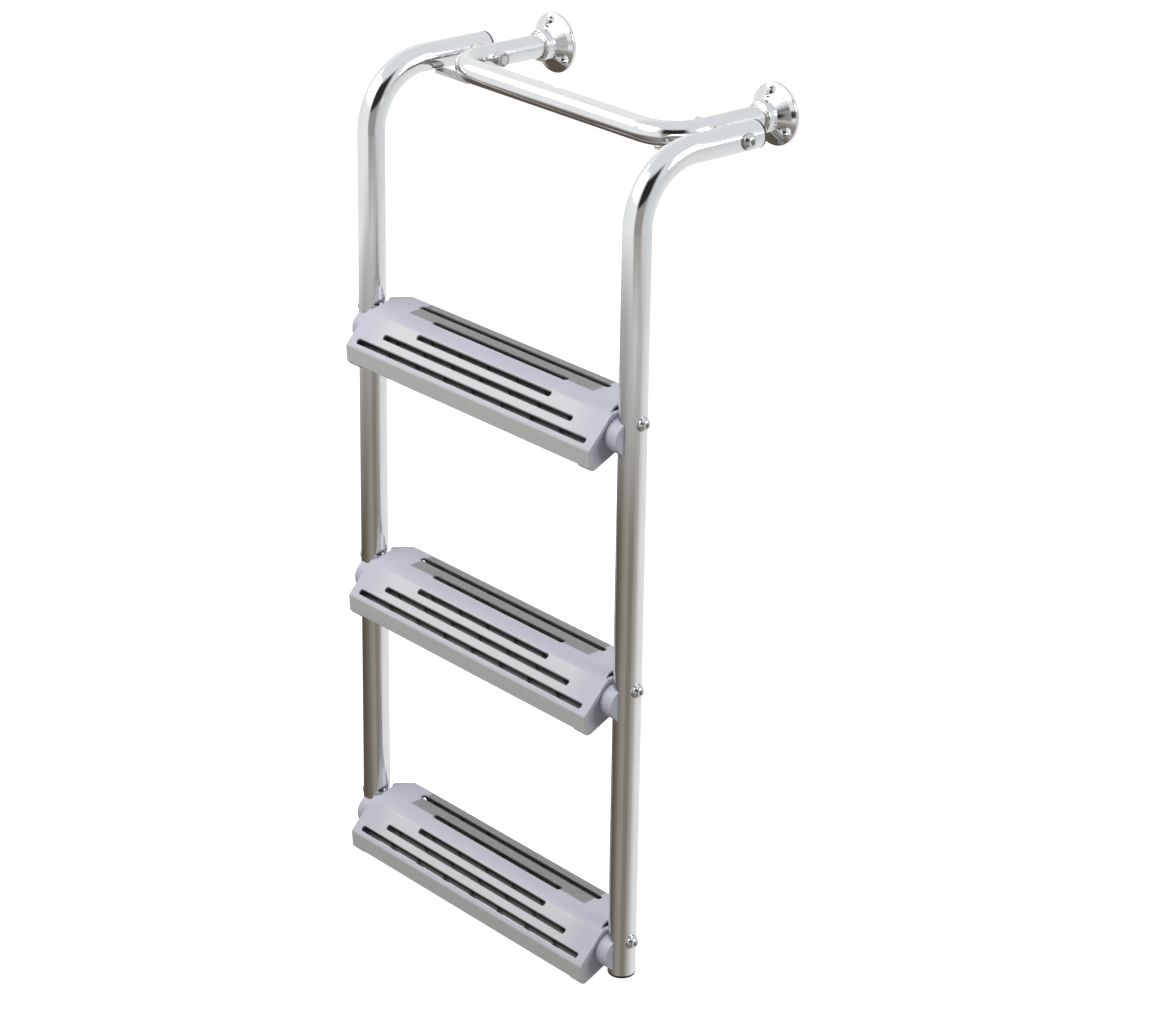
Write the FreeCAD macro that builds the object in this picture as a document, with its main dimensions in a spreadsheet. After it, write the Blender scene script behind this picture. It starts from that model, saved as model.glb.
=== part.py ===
import FreeCAD, Part
import math
import os
import Sketcher

# A folding bow ladder: two bent side tubes with three moulded treads hang on a
# U-shaped bow bar that is screwed to the boat through two round flanges.
# Millimetres. X runs to the climber's right, Y towards the boat and Z up along
# the side tubes. The origin is the middle of the left flange's back face.

Vector = FreeCAD.Vector
doc = FreeCAD.newDocument("folding_bow_ladder")

# Driving sizes

SIZES = [
    ("ladder_width", 363, "side tubes, centre to centre"),
    ("tube_od", 25.4, "side tube, outside diameter"),
    ("tube_wall", 1.5, "side tube, wall"),
    ("standoff", 189, "boat to the side tubes' centre lines"),
    ("neck_drop", 228, "arm centre line to the top tread's bolt"),
    ("neck_radius", 60, "gooseneck bend, centre line"),
    ("step_pitch", 250, "tread to tread"),
    ("foot_length", 34, "bottom tread's bolt to the tube's end"),
    ("bar_width", 295, "bow bar's legs, centre to centre"),
    ("bar_od", 22.2, "bow bar, outside diameter"),
    ("bar_wall", 1.5, "bow bar, wall"),
    ("bar_reach", 124, "boat to the crossbar's centre line"),
    ("bar_radius", 36, "bow bar bend, centre line"),
    ("flange_od", 56, "flange, outside diameter"),
    ("flange_rim", 3, "flange, thickness at its rim"),
    ("flange_turn", 24, "flange, radius where the dome turns over"),
    ("flange_turn_height", 5.5, "flange, height where the dome turns over"),
    ("flange_turn_round", 12, "flange, rounding where the dome turns over"),
    ("flange_dome", 13, "flange, height where the dome meets the socket"),
    ("socket_od", 29, "flange socket, outside diameter"),
    ("socket_length", 22, "boat to the socket's mouth"),
    ("socket_floor", 5, "flange, solid floor under the bar's end"),
    ("screw_circle", 42, "flange screw holes, pitch circle"),
    ("screw_hole", 5.5, "flange screw hole, diameter"),
    ("screw_seat", 10, "flange screw seat, diameter"),
    ("screw_land", 3.5, "flange, height of the screw seats"),
    ("edge_round", 1, "flange, rounding of its edges"),
    ("pivot_out", 77, "boat to the fold's pivot"),
    ("pivot_bolt", 8, "pivot bolt, shank diameter"),
    ("pivot_play", 0.08, "arm bore over the pivot bolt, radial"),
    ("arm_tail", 19, "pivot to the arm's end"),
    ("spacer_od", 15, "pivot spacer, outside diameter"),
    ("seat_gap", 0.1, "fixed pieces that seat on a tube's crown"),
    ("turn_gap", 0.3, "turning pieces beside fixed ones"),
    ("pivot_head", 14, "pivot bolt head, diameter"),
    ("head_height", 5, "bolt head, height"),
    ("head_side", 1.7, "bolt head, straight side"),
    ("head_top", 0.62, "bolt head, flat top over its diameter"),
    ("head_round", 2, "bolt head, rounding of its top"),
    ("pivot_key", 5, "pivot bolt's hexagon socket, across flats"),
    ("key_depth", 2.8, "depth of the hexagon sockets"),
    ("pivot_nut", 13, "pivot nut, across flats"),
    ("pivot_nut_height", 6.5, "pivot nut, height"),
    ("thread_end", 1.5, "bolt's end past its nut"),
    ("tab_length", 12, "stop tab, along the arm"),
    ("tab_plate", 3, "stop tab, plate"),
    ("tab_out", 39, "pivot to the stop tab's middle"),
    ("tab_inside", 22, "leg's centre line to the stop tab's inner end"),
    ("tab_short", 6.5, "stop tab's outer end short of the arm's centre line"),
    ("tab_corner", 3, "stop tab, corner radius"),
    ("plug_depth", 12, "tube plug, length inside the tube"),
    ("plug_cap", 3, "tube plug, length outside the tube"),
    ("plug_round", 2, "tube plug, rounding of its cap"),
    ("plug_gap", 0.1, "tube plug under the bore, radial"),
    ("step_bolt", 6, "tread bolt, shank diameter"),
    ("step_head", 12, "tread bolt head, diameter"),
    ("step_key", 4, "tread bolt's hexagon socket, across flats"),
    ("step_nut", 10, "tread nut, across flats"),
    ("step_nut_height", 5, "tread nut, height"),
    ("tread_length", 340, "tread, end to end"),
    ("tread_tilt", 25.4, "tread leans down at the front"),
    ("tread_plate", 3.2, "tread, wall"),
    ("face_slope", 21.8, "each face of the tread, off its mean plane"),
    ("front_face", 44.9, "tread, crown to the front edge"),
    ("rear_face", 37.7, "tread, crown to the rear edge"),
    ("crown_radius", 30, "tread, rounding of the crown"),
    ("crown_up", 12.9, "bolt to the crown, up"),
    ("crown_fore", 3.9, "bolt to the crown, forwards"),
    ("fascia_height", 14.7, "tread, front edge's depth"),
    ("fascia_flare", 5.9, "tread, front edge's flare"),
    ("skirt_height", 9, "tread, rear edge's depth"),
    ("nose_radius", 3, "tread, rounding of the front edge"),
    ("slot_width", 5.4, "drain slot"),
    ("slot_end", 2.6, "drain slot, rounding of its ends"),
    ("slot_first", 10.9, "crown to the first front slot"),
    ("slot_second", 22.4, "crown to the second front slot"),
    ("slot_third", 34.6, "crown to the third front slot"),
    ("slot_near", 10, "crown to the first rear slot"),
    ("slot_far", 24.4, "crown to the second rear slot"),
    ("slot_short", 187, "first slots, length"),
    ("slot_middle", 264, "second slots, length"),
    ("slot_long", 320, "third slot, length"),
    ("slot_floor", 9, "bolt to the slots' floor in the ribs"),
    ("rib", 2.5, "tread rib"),
    ("rib_pitch", 40, "cross ribs, pitch"),
    ("rib_rise", 0.5, "long ribs' lower edges over the cross ribs' ones"),
    ("rib_behind", 1, "slot's rear edge to its long rib"),
    ("end_web", 3.2, "tread end web"),
    ("end_box", 14, "end box of the tread, along the tread"),
    ("box_round", 6.5, "end box, rounding of its lower edge"),
    ("box_back", 10, "saddle's middle to the end web's rear lower corner"),
    ("box_rise", 1.5, "end box's floor over the saddle's lowest line"),
    ("corner_cut", 14, "tread's rear corners, chamfer in plan"),
    ("notch_gap", 5, "tread's notch over the tube, radial"),
    ("notch_floor", 6, "bolt to the notch's floor, up the tube"),
    ("saddle_radius", 15.5, "tread saddle, radius"),
    ("saddle_down", 15, "bolt to the saddle's middle, down the tube"),
    ("saddle_fore", 6, "bolt to the saddle's middle, forwards"),
    ("saddle_over", 3, "saddle past the tube's centre line"),
    ("bore_past", 1, "tread's bolt bore past the end web"),
]
STEPS = ("top", "middle", "bottom")
CROSS_RIBS = 7
FLANGE_SCREWS = 3

sheet = doc.addObject("Spreadsheet::Sheet", "Sizes")
for row, (alias, value, note) in enumerate(SIZES, 1):
    sheet.set("A%d" % row, note)
    sheet.set("B%d" % row, str(value))
    sheet.setAlias("B%d" % row, alias)
doc.recompute()


def bound(formula):
    """The formula with each size's name pointing at its cell."""
    for alias in sorted((s[0] for s in SIZES), key=len, reverse=True):
        formula = formula.replace("#" + alias, "Sizes." + alias)
    return formula


def amount(formula):
    """The formula's value, as a plain number."""
    return float(sheet.evalExpression(bound(formula)))


# Helpers for bodies and sketches

def new_body(name, place, tilt=None):
    body = doc.addObject("PartDesign::Body", name)
    body.Label = name
    for axis, formula in zip("xyz", place):
        body.setExpression("Placement.Base." + axis, bound(formula))
    if tilt:
        body.Placement.Rotation = FreeCAD.Rotation(Vector(1, 0, 0), amount(tilt))
        body.setExpression("Placement.Rotation.Angle", bound(tilt))
    return body


def new_sketch(body, name, role, lift=None, tilt=None):
    """A sketch on the body's own origin plane, lifted along its normal or tilted about X."""
    plane = [f for f in body.Origin.OriginFeatures if f.Role == role][0]
    sketch = body.newObject("Sketcher::SketchObject", name)
    sketch.AttachmentSupport = [(plane, "")]
    sketch.MapMode = "FlatFace"
    if tilt:
        turn = FreeCAD.Rotation(Vector(1, 0, 0), amount(tilt))
        sketch.AttachmentOffset = FreeCAD.Placement(Vector(), turn)
        sketch.setExpression("AttachmentOffset.Rotation.Angle", bound(tilt))
    if lift:
        sketch.setExpression("AttachmentOffset.Base.z", bound(lift))
    return sketch


def drive(sketch, kind, items, formula):
    """Adds one constraint whose value follows the sheet."""
    index = sketch.addConstraint(Sketcher.Constraint(kind, *items, amount(formula)))
    sketch.setExpression("Constraints[%d]" % index, bound(formula))


def pin_point(sketch, item, end, across, up):
    """Holds a point of the sketch at the place that the two formulas give."""
    if amount(across) == 0:
        sketch.addConstraint(Sketcher.Constraint("PointOnObject", item, end, -2))
    else:
        drive(sketch, "DistanceX", (-1, 1, item, end), across)
    if amount(up) == 0:
        sketch.addConstraint(Sketcher.Constraint("PointOnObject", item, end, -1))
    else:
        drive(sketch, "DistanceY", (-1, 1, item, end), up)


def add_circle(sketch, radius, across="0", up="0"):
    centre = Vector(amount(across), amount(up), 0)
    item = sketch.addGeometry(Part.Circle(centre, Vector(0, 0, 1), amount(radius)))
    drive(sketch, "Radius", (item,), radius)
    pin_point(sketch, item, 3, across, up)


def add_outline(sketch, corners, closed=True):
    """Straight runs through the corners, with a tangent arc where a corner has a radius."""
    places = [Vector(amount(c[0]), amount(c[1]), 0) for c in corners]
    rounds = [c[2] if len(c) > 2 else None for c in corners]
    count = len(corners)
    starts = list(places)
    ends = list(places)
    arcs = {}
    for i, radius in enumerate(rounds):
        if radius is None:
            continue
        before = (places[i - 1] - places[i]).normalize()
        after = (places[(i + 1) % count] - places[i]).normalize()
        half = before.getAngle(after) / 2
        reach = amount(radius) / math.tan(half)
        middle = places[i] + (before + after).normalize() * (amount(radius) / math.sin(half))
        starts[i] = places[i] + before * reach
        ends[i] = places[i] + after * reach
        inner = middle + (places[i] - middle).normalize() * amount(radius)
        arcs[i] = Part.Arc(starts[i], inner, ends[i])
    runs = count if closed else count - 1
    lines = []
    for i in range(runs):
        line = Part.LineSegment(ends[i], starts[(i + 1) % count])
        lines.append(sketch.addGeometry(line))
    for i, (across, up) in enumerate((c[0], c[1]) for c in corners):
        before = lines[i - 1] if closed or i > 0 else None
        after = lines[i] if i < runs else None
        if i not in arcs:
            if before is not None and after is not None:
                sketch.addConstraint(Sketcher.Constraint("Coincident", before, 2, after, 1))
            pin_point(sketch, *((after, 1) if after is not None else (before, 2)), across, up)
            continue
        corner = sketch.addGeometry(Part.Point(places[i]), True)
        pin_point(sketch, corner, 1, across, up)
        sketch.addConstraint(Sketcher.Constraint("PointOnObject", corner, 1, before))
        sketch.addConstraint(Sketcher.Constraint("PointOnObject", corner, 1, after))
        arc = sketch.addGeometry(arcs[i])
        first, second = arc_ends(sketch, arc, starts[i])
        sketch.addConstraint(Sketcher.Constraint("Tangent", before, 2, arc, first))
        sketch.addConstraint(Sketcher.Constraint("Tangent", arc, second, after, 1))
        drive(sketch, "Radius", (arc,), rounds[i])


def arc_ends(sketch, arc, start):
    """Which end of the arc lies at start, and which is the other."""
    near = (sketch.getPoint(arc, 1) - start).Length < (sketch.getPoint(arc, 2) - start).Length
    return (1, 2) if near else (2, 1)


def pad(body, name, sketch, length, midplane=False, backwards=False):
    feature = body.newObject("PartDesign::Pad", name)
    feature.Profile = sketch
    feature.setExpression("Length", bound(length))
    feature.Midplane = midplane
    feature.Reversed = backwards
    return feature


def pocket(body, name, sketch, length=None, midplane=False, backwards=False):
    """Cuts the sketch to a length, or through everything both ways."""
    feature = body.newObject("PartDesign::Pocket", name)
    feature.Profile = sketch
    if length is None:
        feature.Type = "ThroughAll"
    else:
        feature.setExpression("Length", bound(length))
    feature.Midplane = midplane or length is None
    feature.Reversed = backwards
    return feature


def turn(body, profile, axis):
    """Turns the half section about one of its own axes."""
    turned = body.newObject("PartDesign::Revolution", "turned")
    turned.Profile = profile
    turned.ReferenceAxis = (profile, [axis])
    turned.Angle = 360
    doc.recompute()
    return turned


def bent_tube(body, name, path, role, profile_role, lift, od, wall):
    """A round tube of one wall carried along a bent path."""
    spine = new_sketch(body, name + "_path", role)
    add_outline(spine, path, closed=False)
    ring = new_sketch(body, name + "_section", profile_role, lift)
    add_circle(ring, od + " / 2")
    add_circle(ring, od + " / 2 - " + wall)
    doc.recompute()
    sweep = body.newObject("PartDesign::AdditivePipe", name + "_bend")
    sweep.Profile = ring
    sweep.Spine = spine
    doc.recompute()
    return sweep


# Bow bar: one polished tube bent into a U, its two ends in the flanges

def make_bow_bar():
    body = new_body("bow_bar", ("0", "0", "0"))
    back = "-#socket_floor"
    reach = "-#bar_reach"
    path = [("0", back), ("0", reach, "#bar_radius"), ("#bar_width", reach, "#bar_radius"),
            ("#bar_width", back)]
    bent_tube(body, "bar", path, "XY_Plane", "XZ_Plane", "#socket_floor", "#bar_od", "#bar_wall")
    bores = new_sketch(body, "pivot_bores", "YZ_Plane")
    add_circle(bores, "#pivot_bolt / 2 + #seat_gap", "-#pivot_out", "0")
    pocket(body, "pivot_bore", bores)


# Flange: a turned, polished dome with a socket for the bar and three screw holes

def make_flange(name, x):
    body = new_body(name, (x, "0", "0"))
    profile = new_sketch(body, "half_section", "XY_Plane")
    rim = "#flange_od / 2"
    mouth = "#bar_od / 2 + #seat_gap"
    corners = [("0", "0"), (rim, "0"), (rim, "-#flange_rim", "#edge_round"),
               ("#flange_turn", "-#flange_turn_height", "#flange_turn_round"),
               ("#socket_od / 2", "-#flange_dome"),
               ("#socket_od / 2", "-#socket_length", "#edge_round"),
               (mouth, "-#socket_length"), (mouth, "-#socket_floor"), ("0", "-#socket_floor")]
    add_outline(profile, corners)
    turn(body, profile, "V_Axis")
    hole = new_sketch(body, "screw_hole", "XZ_Plane")
    add_circle(hole, "#screw_hole / 2", "0", "#screw_circle / 2")
    drilled = pocket(body, "screw_drill", hole)
    seat = new_sketch(body, "screw_seat", "XZ_Plane", "#screw_land")
    add_circle(seat, "#screw_seat / 2", "0", "#screw_circle / 2")
    faced = pocket(body, "screw_face", seat, "#flange_dome", backwards=True)
    pattern = body.newObject("PartDesign::PolarPattern", "screw_pattern")
    pattern.Originals = [drilled, faced]
    pattern.Axis = (hole, ["N_Axis"])
    pattern.Angle = 360
    pattern.Occurrences = FLANGE_SCREWS
    body.Tip = pattern


# Fold pivots: a bolt through the leg and the arm, with a spacer between and a nut inside

SIDES = {
    "left": ("0", "-1", "(#bar_width - #ladder_width) / 2"),
    "right": ("#bar_width", "1", "(#bar_width + #ladder_width) / 2"),
}


def make_pivot(side):
    leg, outward, _ = SIDES[side]
    place = (leg, "-#pivot_out", "0")
    offset = "(#ladder_width - #bar_width) / 2"
    shank = "#pivot_bolt / 2"
    seat = "#bar_od / 2 + #seat_gap"
    make_bolt("pivot_bolt_" + side, place, outward, shank, "#pivot_head / 2", "#pivot_key",
              "-(" + seat + ") - #pivot_nut_height - #thread_end",
              offset + " + #tube_od / 2 + #turn_gap")
    make_nut("pivot_nut_" + side, place, outward, "-(" + seat + ")", shank,
             "#pivot_nut", "#pivot_nut_height")
    bore = shank + " + #seat_gap"
    far = offset + " - #tube_od / 2 - #turn_gap"
    make_turned("pivot_spacer_" + side, place, outward, [
        (seat, bore), (seat, "#spacer_od / 2"), (far, "#spacer_od / 2"), (far, bore)])


def make_turned(name, place, outward, corners):
    """A piece turned about X. Its corners are (distance outwards, radius, rounding)."""
    body = new_body(name, place)
    profile = new_sketch(body, "half_section", "XY_Plane")
    add_outline(profile, [(outward + " * (" + c[0] + ")",) + tuple(c[1:]) for c in corners])
    turn(body, profile, "H_Axis")
    return body


def add_hexagon(sketch, flats):
    corner = flats + " / 2 / cos(30)"
    points = [(corner + " * cos(%d)" % a, corner + " * sin(%d)" % a) for a in range(30, 390, 60)]
    add_outline(sketch, points)


def make_bolt(name, place, outward, shank, head, key, inner, outer):
    """A bolt with a low domed head and a hexagon socket, its shank from inner to outer."""
    top = outer + " + #head_height"
    body = make_turned(name, place, outward, [
        (inner, "0"), (inner, shank), (outer, shank), (outer, head),
        (outer + " + #head_side", head), (top, head + " * #head_top", "#head_round"),
        (top, "0")])
    socket = new_sketch(body, "hexagon_socket", "YZ_Plane", outward + " * (" + top + ")")
    add_hexagon(socket, key)
    pocket(body, "socket", socket, "#key_depth", backwards=outward == "-1")


def make_nut(name, place, outward, face, shank, flats, height):
    """A hexagon nut that lies inwards from the given face along X."""
    body = new_body(name, place)
    hexagon = new_sketch(body, "hexagon", "YZ_Plane", outward + " * (" + face + ")")
    add_hexagon(hexagon, flats)
    add_circle(hexagon, shank + " + #seat_gap")
    pad(body, "nut", hexagon, height, backwards=outward == "1")


def make_step_bolt(step, count, side):
    _, outward, tube = SIDES[side]
    place = (tube, "-#standoff", "-(#neck_drop + %d * #step_pitch)" % count)
    shank = "#step_bolt / 2"
    web = "-(#tube_od / 2 + 3 * #seat_gap + #end_web)"
    make_bolt("step_bolt_%s_%s" % (step, side), place, outward, shank, "#step_head / 2",
              "#step_key", web + " - #step_nut_height - #thread_end",
              "#tube_od / 2 + #seat_gap")
    make_nut("step_nut_%s_%s" % (step, side), place, outward, web, shank,
             "#step_nut", "#step_nut_height")


# Stop tab: a small plate under each corner of the bow bar on which the arm comes to rest

def make_stop_tab(side):
    leg, outward, _ = SIDES[side]
    under = "-#bar_od / 2 - #seat_gap - #tab_plate"
    body = new_body("stop_tab_" + side, (leg, "-#pivot_out - #tab_out", under))
    half = "#tab_length / 2"
    inner = outward + " * (-#tab_inside)"
    outer = outward + " * ((#ladder_width - #bar_width) / 2 - #tab_short)"
    plate = new_sketch(body, "plate_outline", "XY_Plane")
    add_outline(plate, [(inner, "-" + half), (outer, "-" + half, "#tab_corner"),
                        (outer, half, "#tab_corner"), (inner, half)])
    pad(body, "plate", plate, "#tab_plate")


# Side tubes: polished tubes with a gooseneck at the top

LADDER_DROP = "(#neck_drop + %d * #step_pitch + #foot_length)" % (len(STEPS) - 1)


def make_side_tube(side):
    x = SIDES[side][2]
    drop = LADDER_DROP
    body = new_body("side_tube_" + side, (x, "-#standoff", "-" + drop))
    arm_end = "#standoff - #pivot_out + #arm_tail"
    path = [("0", "0"), ("0", drop, "#neck_radius"), (arm_end, drop)]
    bent_tube(body, "tube", path, "YZ_Plane", "XY_Plane", None, "#tube_od", "#tube_wall")
    pivot = new_sketch(body, "pivot_bore", "YZ_Plane")
    add_circle(pivot, "#pivot_bolt / 2 + #pivot_play", "#standoff - #pivot_out", drop)
    pocket(body, "pivot_drill", pivot)
    bores = new_sketch(body, "step_bores", "YZ_Plane")
    for count in range(len(STEPS)):
        add_circle(bores, "#step_bolt / 2 + #seat_gap", "0", "#foot_length + %d * #step_pitch" % count)
    pocket(body, "step_drill", bores)


def make_plug(name, place, role, outward):
    """A moulded plug in a tube's open end: a rounded cap and a stem."""
    body = new_body(name, place)
    profile = new_sketch(body, "half_section", role)
    stem = "#tube_od / 2 - #tube_wall - #plug_gap"
    cap = outward + " * #plug_cap"
    deep = outward + " * -#plug_depth"
    add_outline(profile, [("0", deep), (stem, deep), (stem, "0"), ("#tube_od / 2", "0"),
                          ("#tube_od / 2", cap, "#plug_round"), ("0", cap)])
    turn(body, profile, "V_Axis")


def make_plugs(side):
    x = SIDES[side][2]
    make_plug("arm_plug_" + side, (x, "-#pivot_out + #arm_tail", "0"), "XY_Plane", "1")
    make_plug("foot_plug_" + side, (x, "-#standoff", "-" + LADDER_DROP), "XZ_Plane", "-1")


# Treads: moulded in one piece, drained by slots, ribbed below, with a saddle at each end

# the tread's section in its own tilted frame, with the bolt at the middle
RUN = "cos(#face_slope)"
SLOPE = "tan(#face_slope)"
WALL_DOWN = "(#tread_plate / " + RUN + ")"
FLARE = "(#fascia_flare / #fascia_height)"
WALL_IN = "(#tread_plate * sqrt(1 + " + FLARE + " * " + FLARE + "))"
FRONT_Y = "(-#crown_fore - #front_face * " + RUN + ")"
FRONT_Z = "(#crown_up - #front_face * sin(#face_slope))"
REAR_Y = "(-#crown_fore + #rear_face * " + RUN + ")"
REAR_Z = "(#crown_up - #rear_face * sin(#face_slope))"
TOE_Y = "(" + FRONT_Y + " - #fascia_flare)"
TOE_Z = "(" + FRONT_Z + " - #fascia_height)"
HEEL_Z = "(" + REAR_Z + " - #skirt_height)"
SADDLE_Y = "(-#saddle_fore * cos(#tread_tilt) - #saddle_down * sin(#tread_tilt))"
SADDLE_Z = "(#saddle_fore * sin(#tread_tilt) - #saddle_down * cos(#tread_tilt))"
WEB_FACE = "(#ladder_width / 2 - #tube_od / 2 - 2 * #seat_gap)"
BOX_FLOOR = "(" + SADDLE_Z + " - #saddle_radius + #box_rise)"
ENDS = (("left", "-"), ("right", ""))


def tread_corners(share):
    """The section from the front edge's foot over the crown to the rear edge's foot,
    moved inwards by a share of the wall."""
    behind = "((%s - %s * %s) / (1 - %s * %s))" % (WALL_IN, FLARE, WALL_DOWN, FLARE, SLOPE)
    front = "%s + %s * %s" % (FRONT_Y, share, behind)
    front_up = "%s + %s * (%s * %s - %s)" % (FRONT_Z, share, behind, SLOPE, WALL_DOWN)
    rear = "%s - %s * #tread_plate" % (REAR_Y, share)
    rear_up = "%s + %s * (#tread_plate * %s - %s)" % (REAR_Z, share, SLOPE, WALL_DOWN)
    crown_up = "#crown_up - %s * %s" % (share, WALL_DOWN)
    toe = "%s + %s * %s" % (TOE_Y, share, WALL_IN)
    return [(toe, TOE_Z), (front, front_up, "#nose_radius"),
            ("-#crown_fore", crown_up, "#crown_radius - %s * #tread_plate" % share),
            (rear, rear_up, "#nose_radius"), (rear, HEEL_Z)]


def without_rounding(corner):
    return corner[:2]


def make_tread_shell(body):
    """The bent plate with its fascia and skirt."""
    inside = tread_corners("1")
    toe, front, crown, rear, heel = inside
    shell = new_sketch(body, "shell_section", "YZ_Plane")
    add_outline(shell, tread_corners("0") + [heel, without_rounding(rear), crown,
                                             without_rounding(front), toe])
    pad(body, "shell", shell, "#tread_length", midplane=True)


def make_tread_ends(body, middle):
    """A web that closes each end against the tube, and the box under the front end."""
    heel_corner = (SADDLE_Y + " + #box_back", BOX_FLOOR, "#box_round")
    toe = middle[0][0]
    toe_corner = (toe, BOX_FLOOR, "#box_round - #tread_plate / 2")
    saddle_foot = SADDLE_Y
    for end, sign in ENDS:
        web = new_sketch(body, "web_section_" + end, "YZ_Plane", sign + WEB_FACE)
        add_outline(web, middle + [heel_corner, toe_corner])
        pad(body, "web_" + end, web, "#end_web", backwards=sign == "")
        box = new_sketch(body, "box_section_" + end, "YZ_Plane", sign + WEB_FACE)
        add_outline(box, [
            (TOE_Y, TOE_Z), (TOE_Y, BOX_FLOOR, "#box_round"), (saddle_foot, BOX_FLOOR),
            (saddle_foot, BOX_FLOOR + " + #tread_plate"),
            (TOE_Y + " + " + WALL_IN, BOX_FLOOR + " + #tread_plate", "#box_round - #tread_plate"),
            (TOE_Y + " + " + WALL_IN, TOE_Z)])
        pad(body, "box_" + end, box, "#end_box", backwards=sign == "")


def make_tread_notches(body):
    """The tube's notch from above, wider than the tube, and the chamfered rear corners."""
    notch = new_sketch(body, "notch_circles", "XY_Plane", "#notch_floor", "-#tread_tilt")
    for _, sign in ENDS:
        add_circle(notch, "#tube_od / 2 + #notch_gap", sign + "#ladder_width / 2", "0")
    pocket(body, "notches", notch, "#front_face", backwards=True)
    corners = new_sketch(body, "rear_corners", "XY_Plane")
    for _, sign in ENDS:
        outer = sign + "(#tread_length / 2 + #corner_cut)"
        inner = sign + "(#tread_length / 2 - 2 * #corner_cut)"
        behind = REAR_Y + " + #corner_cut"
        add_outline(corners, [(outer, REAR_Y + " - 2 * #corner_cut"), (outer, behind),
                              (inner, behind)])
    pocket(body, "rear_chamfers", corners)


def make_corner_walls(body):
    """The skirt goes on along each chamfered corner."""
    thick = "#tread_plate / sin(45)"
    side_y = REAR_Y + " - #corner_cut + #tread_length / 2 - " + WEB_FACE + " + #end_web / 2"
    back_y = REAR_Y + " - #tread_plate / 2"
    for end, sign in ENDS:
        side = sign + "(" + WEB_FACE + " - #end_web / 2)"
        back = sign + "(#tread_length / 2 - #corner_cut + #tread_plate / 2)"
        wall = new_sketch(body, "corner_wall_section_" + end, "XY_Plane", HEEL_Z)
        add_outline(wall, [(side, side_y), (back, back_y), (back, back_y + " - " + thick),
                           (side, side_y + " - " + thick)])
        pad(body, "corner_wall_" + end, wall, "#skirt_height - " + WALL_DOWN + " / 2")


def make_cross_ribs(body, middle):
    """A row of cross ribs that fill the section from wall to wall."""
    cross = new_sketch(body, "cross_rib_section", "YZ_Plane",
                       "-%d * #rib_pitch - #rib / 2" % (CROSS_RIBS // 2))
    add_outline(cross, middle)
    first = pad(body, "cross_rib", cross, "#rib")
    doc.recompute()
    row = body.newObject("PartDesign::LinearPattern", "cross_ribs")
    row.Originals = [first]
    row.Direction = (cross, ["N_Axis"])
    row.setExpression("Length", bound("%d * #rib_pitch" % (CROSS_RIBS - 1)))
    row.Occurrences = CROSS_RIBS
    body.Tip = row


def make_long_rib(body, title, away, length):
    """A rib along the tread, just behind the slot at a distance behind the crown."""
    low = "(-#crown_fore + " + away + " + #slot_width / 2 + #rib_behind)"
    high = low + " + #rib"
    rise = "((%s - %s) / (%s - %s))" % (HEEL_Z, TOE_Z, REAR_Y, TOE_Y)
    foot = "%s + (%s - %s) * %s + #rib_rise" % (TOE_Z, low, TOE_Y, rise)
    drop = "max(abs(%s + #crown_fore); #crown_radius * sin(#face_slope))" % low
    wall = "#crown_up - %s / 2 - %s * %s" % (WALL_DOWN, drop, SLOPE)
    rib = new_sketch(body, title + "_section", "YZ_Plane")
    add_outline(rib, [(low, foot), (high, foot), (high, wall), (low, wall)])
    pad(body, title, rib, length, midplane=True)


def make_tread_slots(body):
    """Drain slots cut square to the mean plane: three down the front, two behind the crown."""
    slots = new_sketch(body, "slot_outlines", "XY_Plane", "#crown_up")
    rows = [("- #slot_third", "#slot_long"), ("- #slot_second", "#slot_middle"),
            ("- #slot_first", "#slot_short"), ("+ #slot_near", "#slot_short"),
            ("+ #slot_far", "#slot_middle")]
    for away, length in rows:
        low = "-#crown_fore %s - #slot_width / 2" % away
        high = "-#crown_fore %s + #slot_width / 2" % away
        half = length + " / 2"
        add_outline(slots, [("-" + half, low, "#slot_end"), (half, low, "#slot_end"),
                            (half, high, "#slot_end"), ("-" + half, high, "#slot_end")])
    pocket(body, "slots", slots, "#crown_up + #slot_floor")


def make_tread_saddles(body):
    """A saddle at each end that bears on the front of the tube, and the bolt's bore."""
    root = "(" + WEB_FACE + " - #end_web / 2)"
    for end, sign in ENDS:
        saddle = new_sketch(body, "saddle_circle_" + end, "YZ_Plane", sign + root)
        add_circle(saddle, "#saddle_radius", SADDLE_Y, SADDLE_Z)
        pad(body, "saddle_" + end, saddle, "#ladder_width / 2 + #saddle_over - " + root,
            backwards=sign == "-")
    bed = new_sketch(body, "tube_circles", "XY_Plane", tilt="-#tread_tilt")
    for _, sign in ENDS:
        add_circle(bed, "#tube_od / 2 + #seat_gap", sign + "#ladder_width / 2", "0")
    pocket(body, "tube_beds", bed)
    for end, sign in ENDS:
        bore = new_sketch(body, "bore_circle_" + end, "YZ_Plane", sign + "#tread_length / 2")
        add_circle(bore, "#step_bolt / 2 + #seat_gap")
        pocket(body, "bolt_bore_" + end, bore,
               "#tread_length / 2 - " + WEB_FACE + " + #end_web + #bore_past", backwards=sign == "-")


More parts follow.
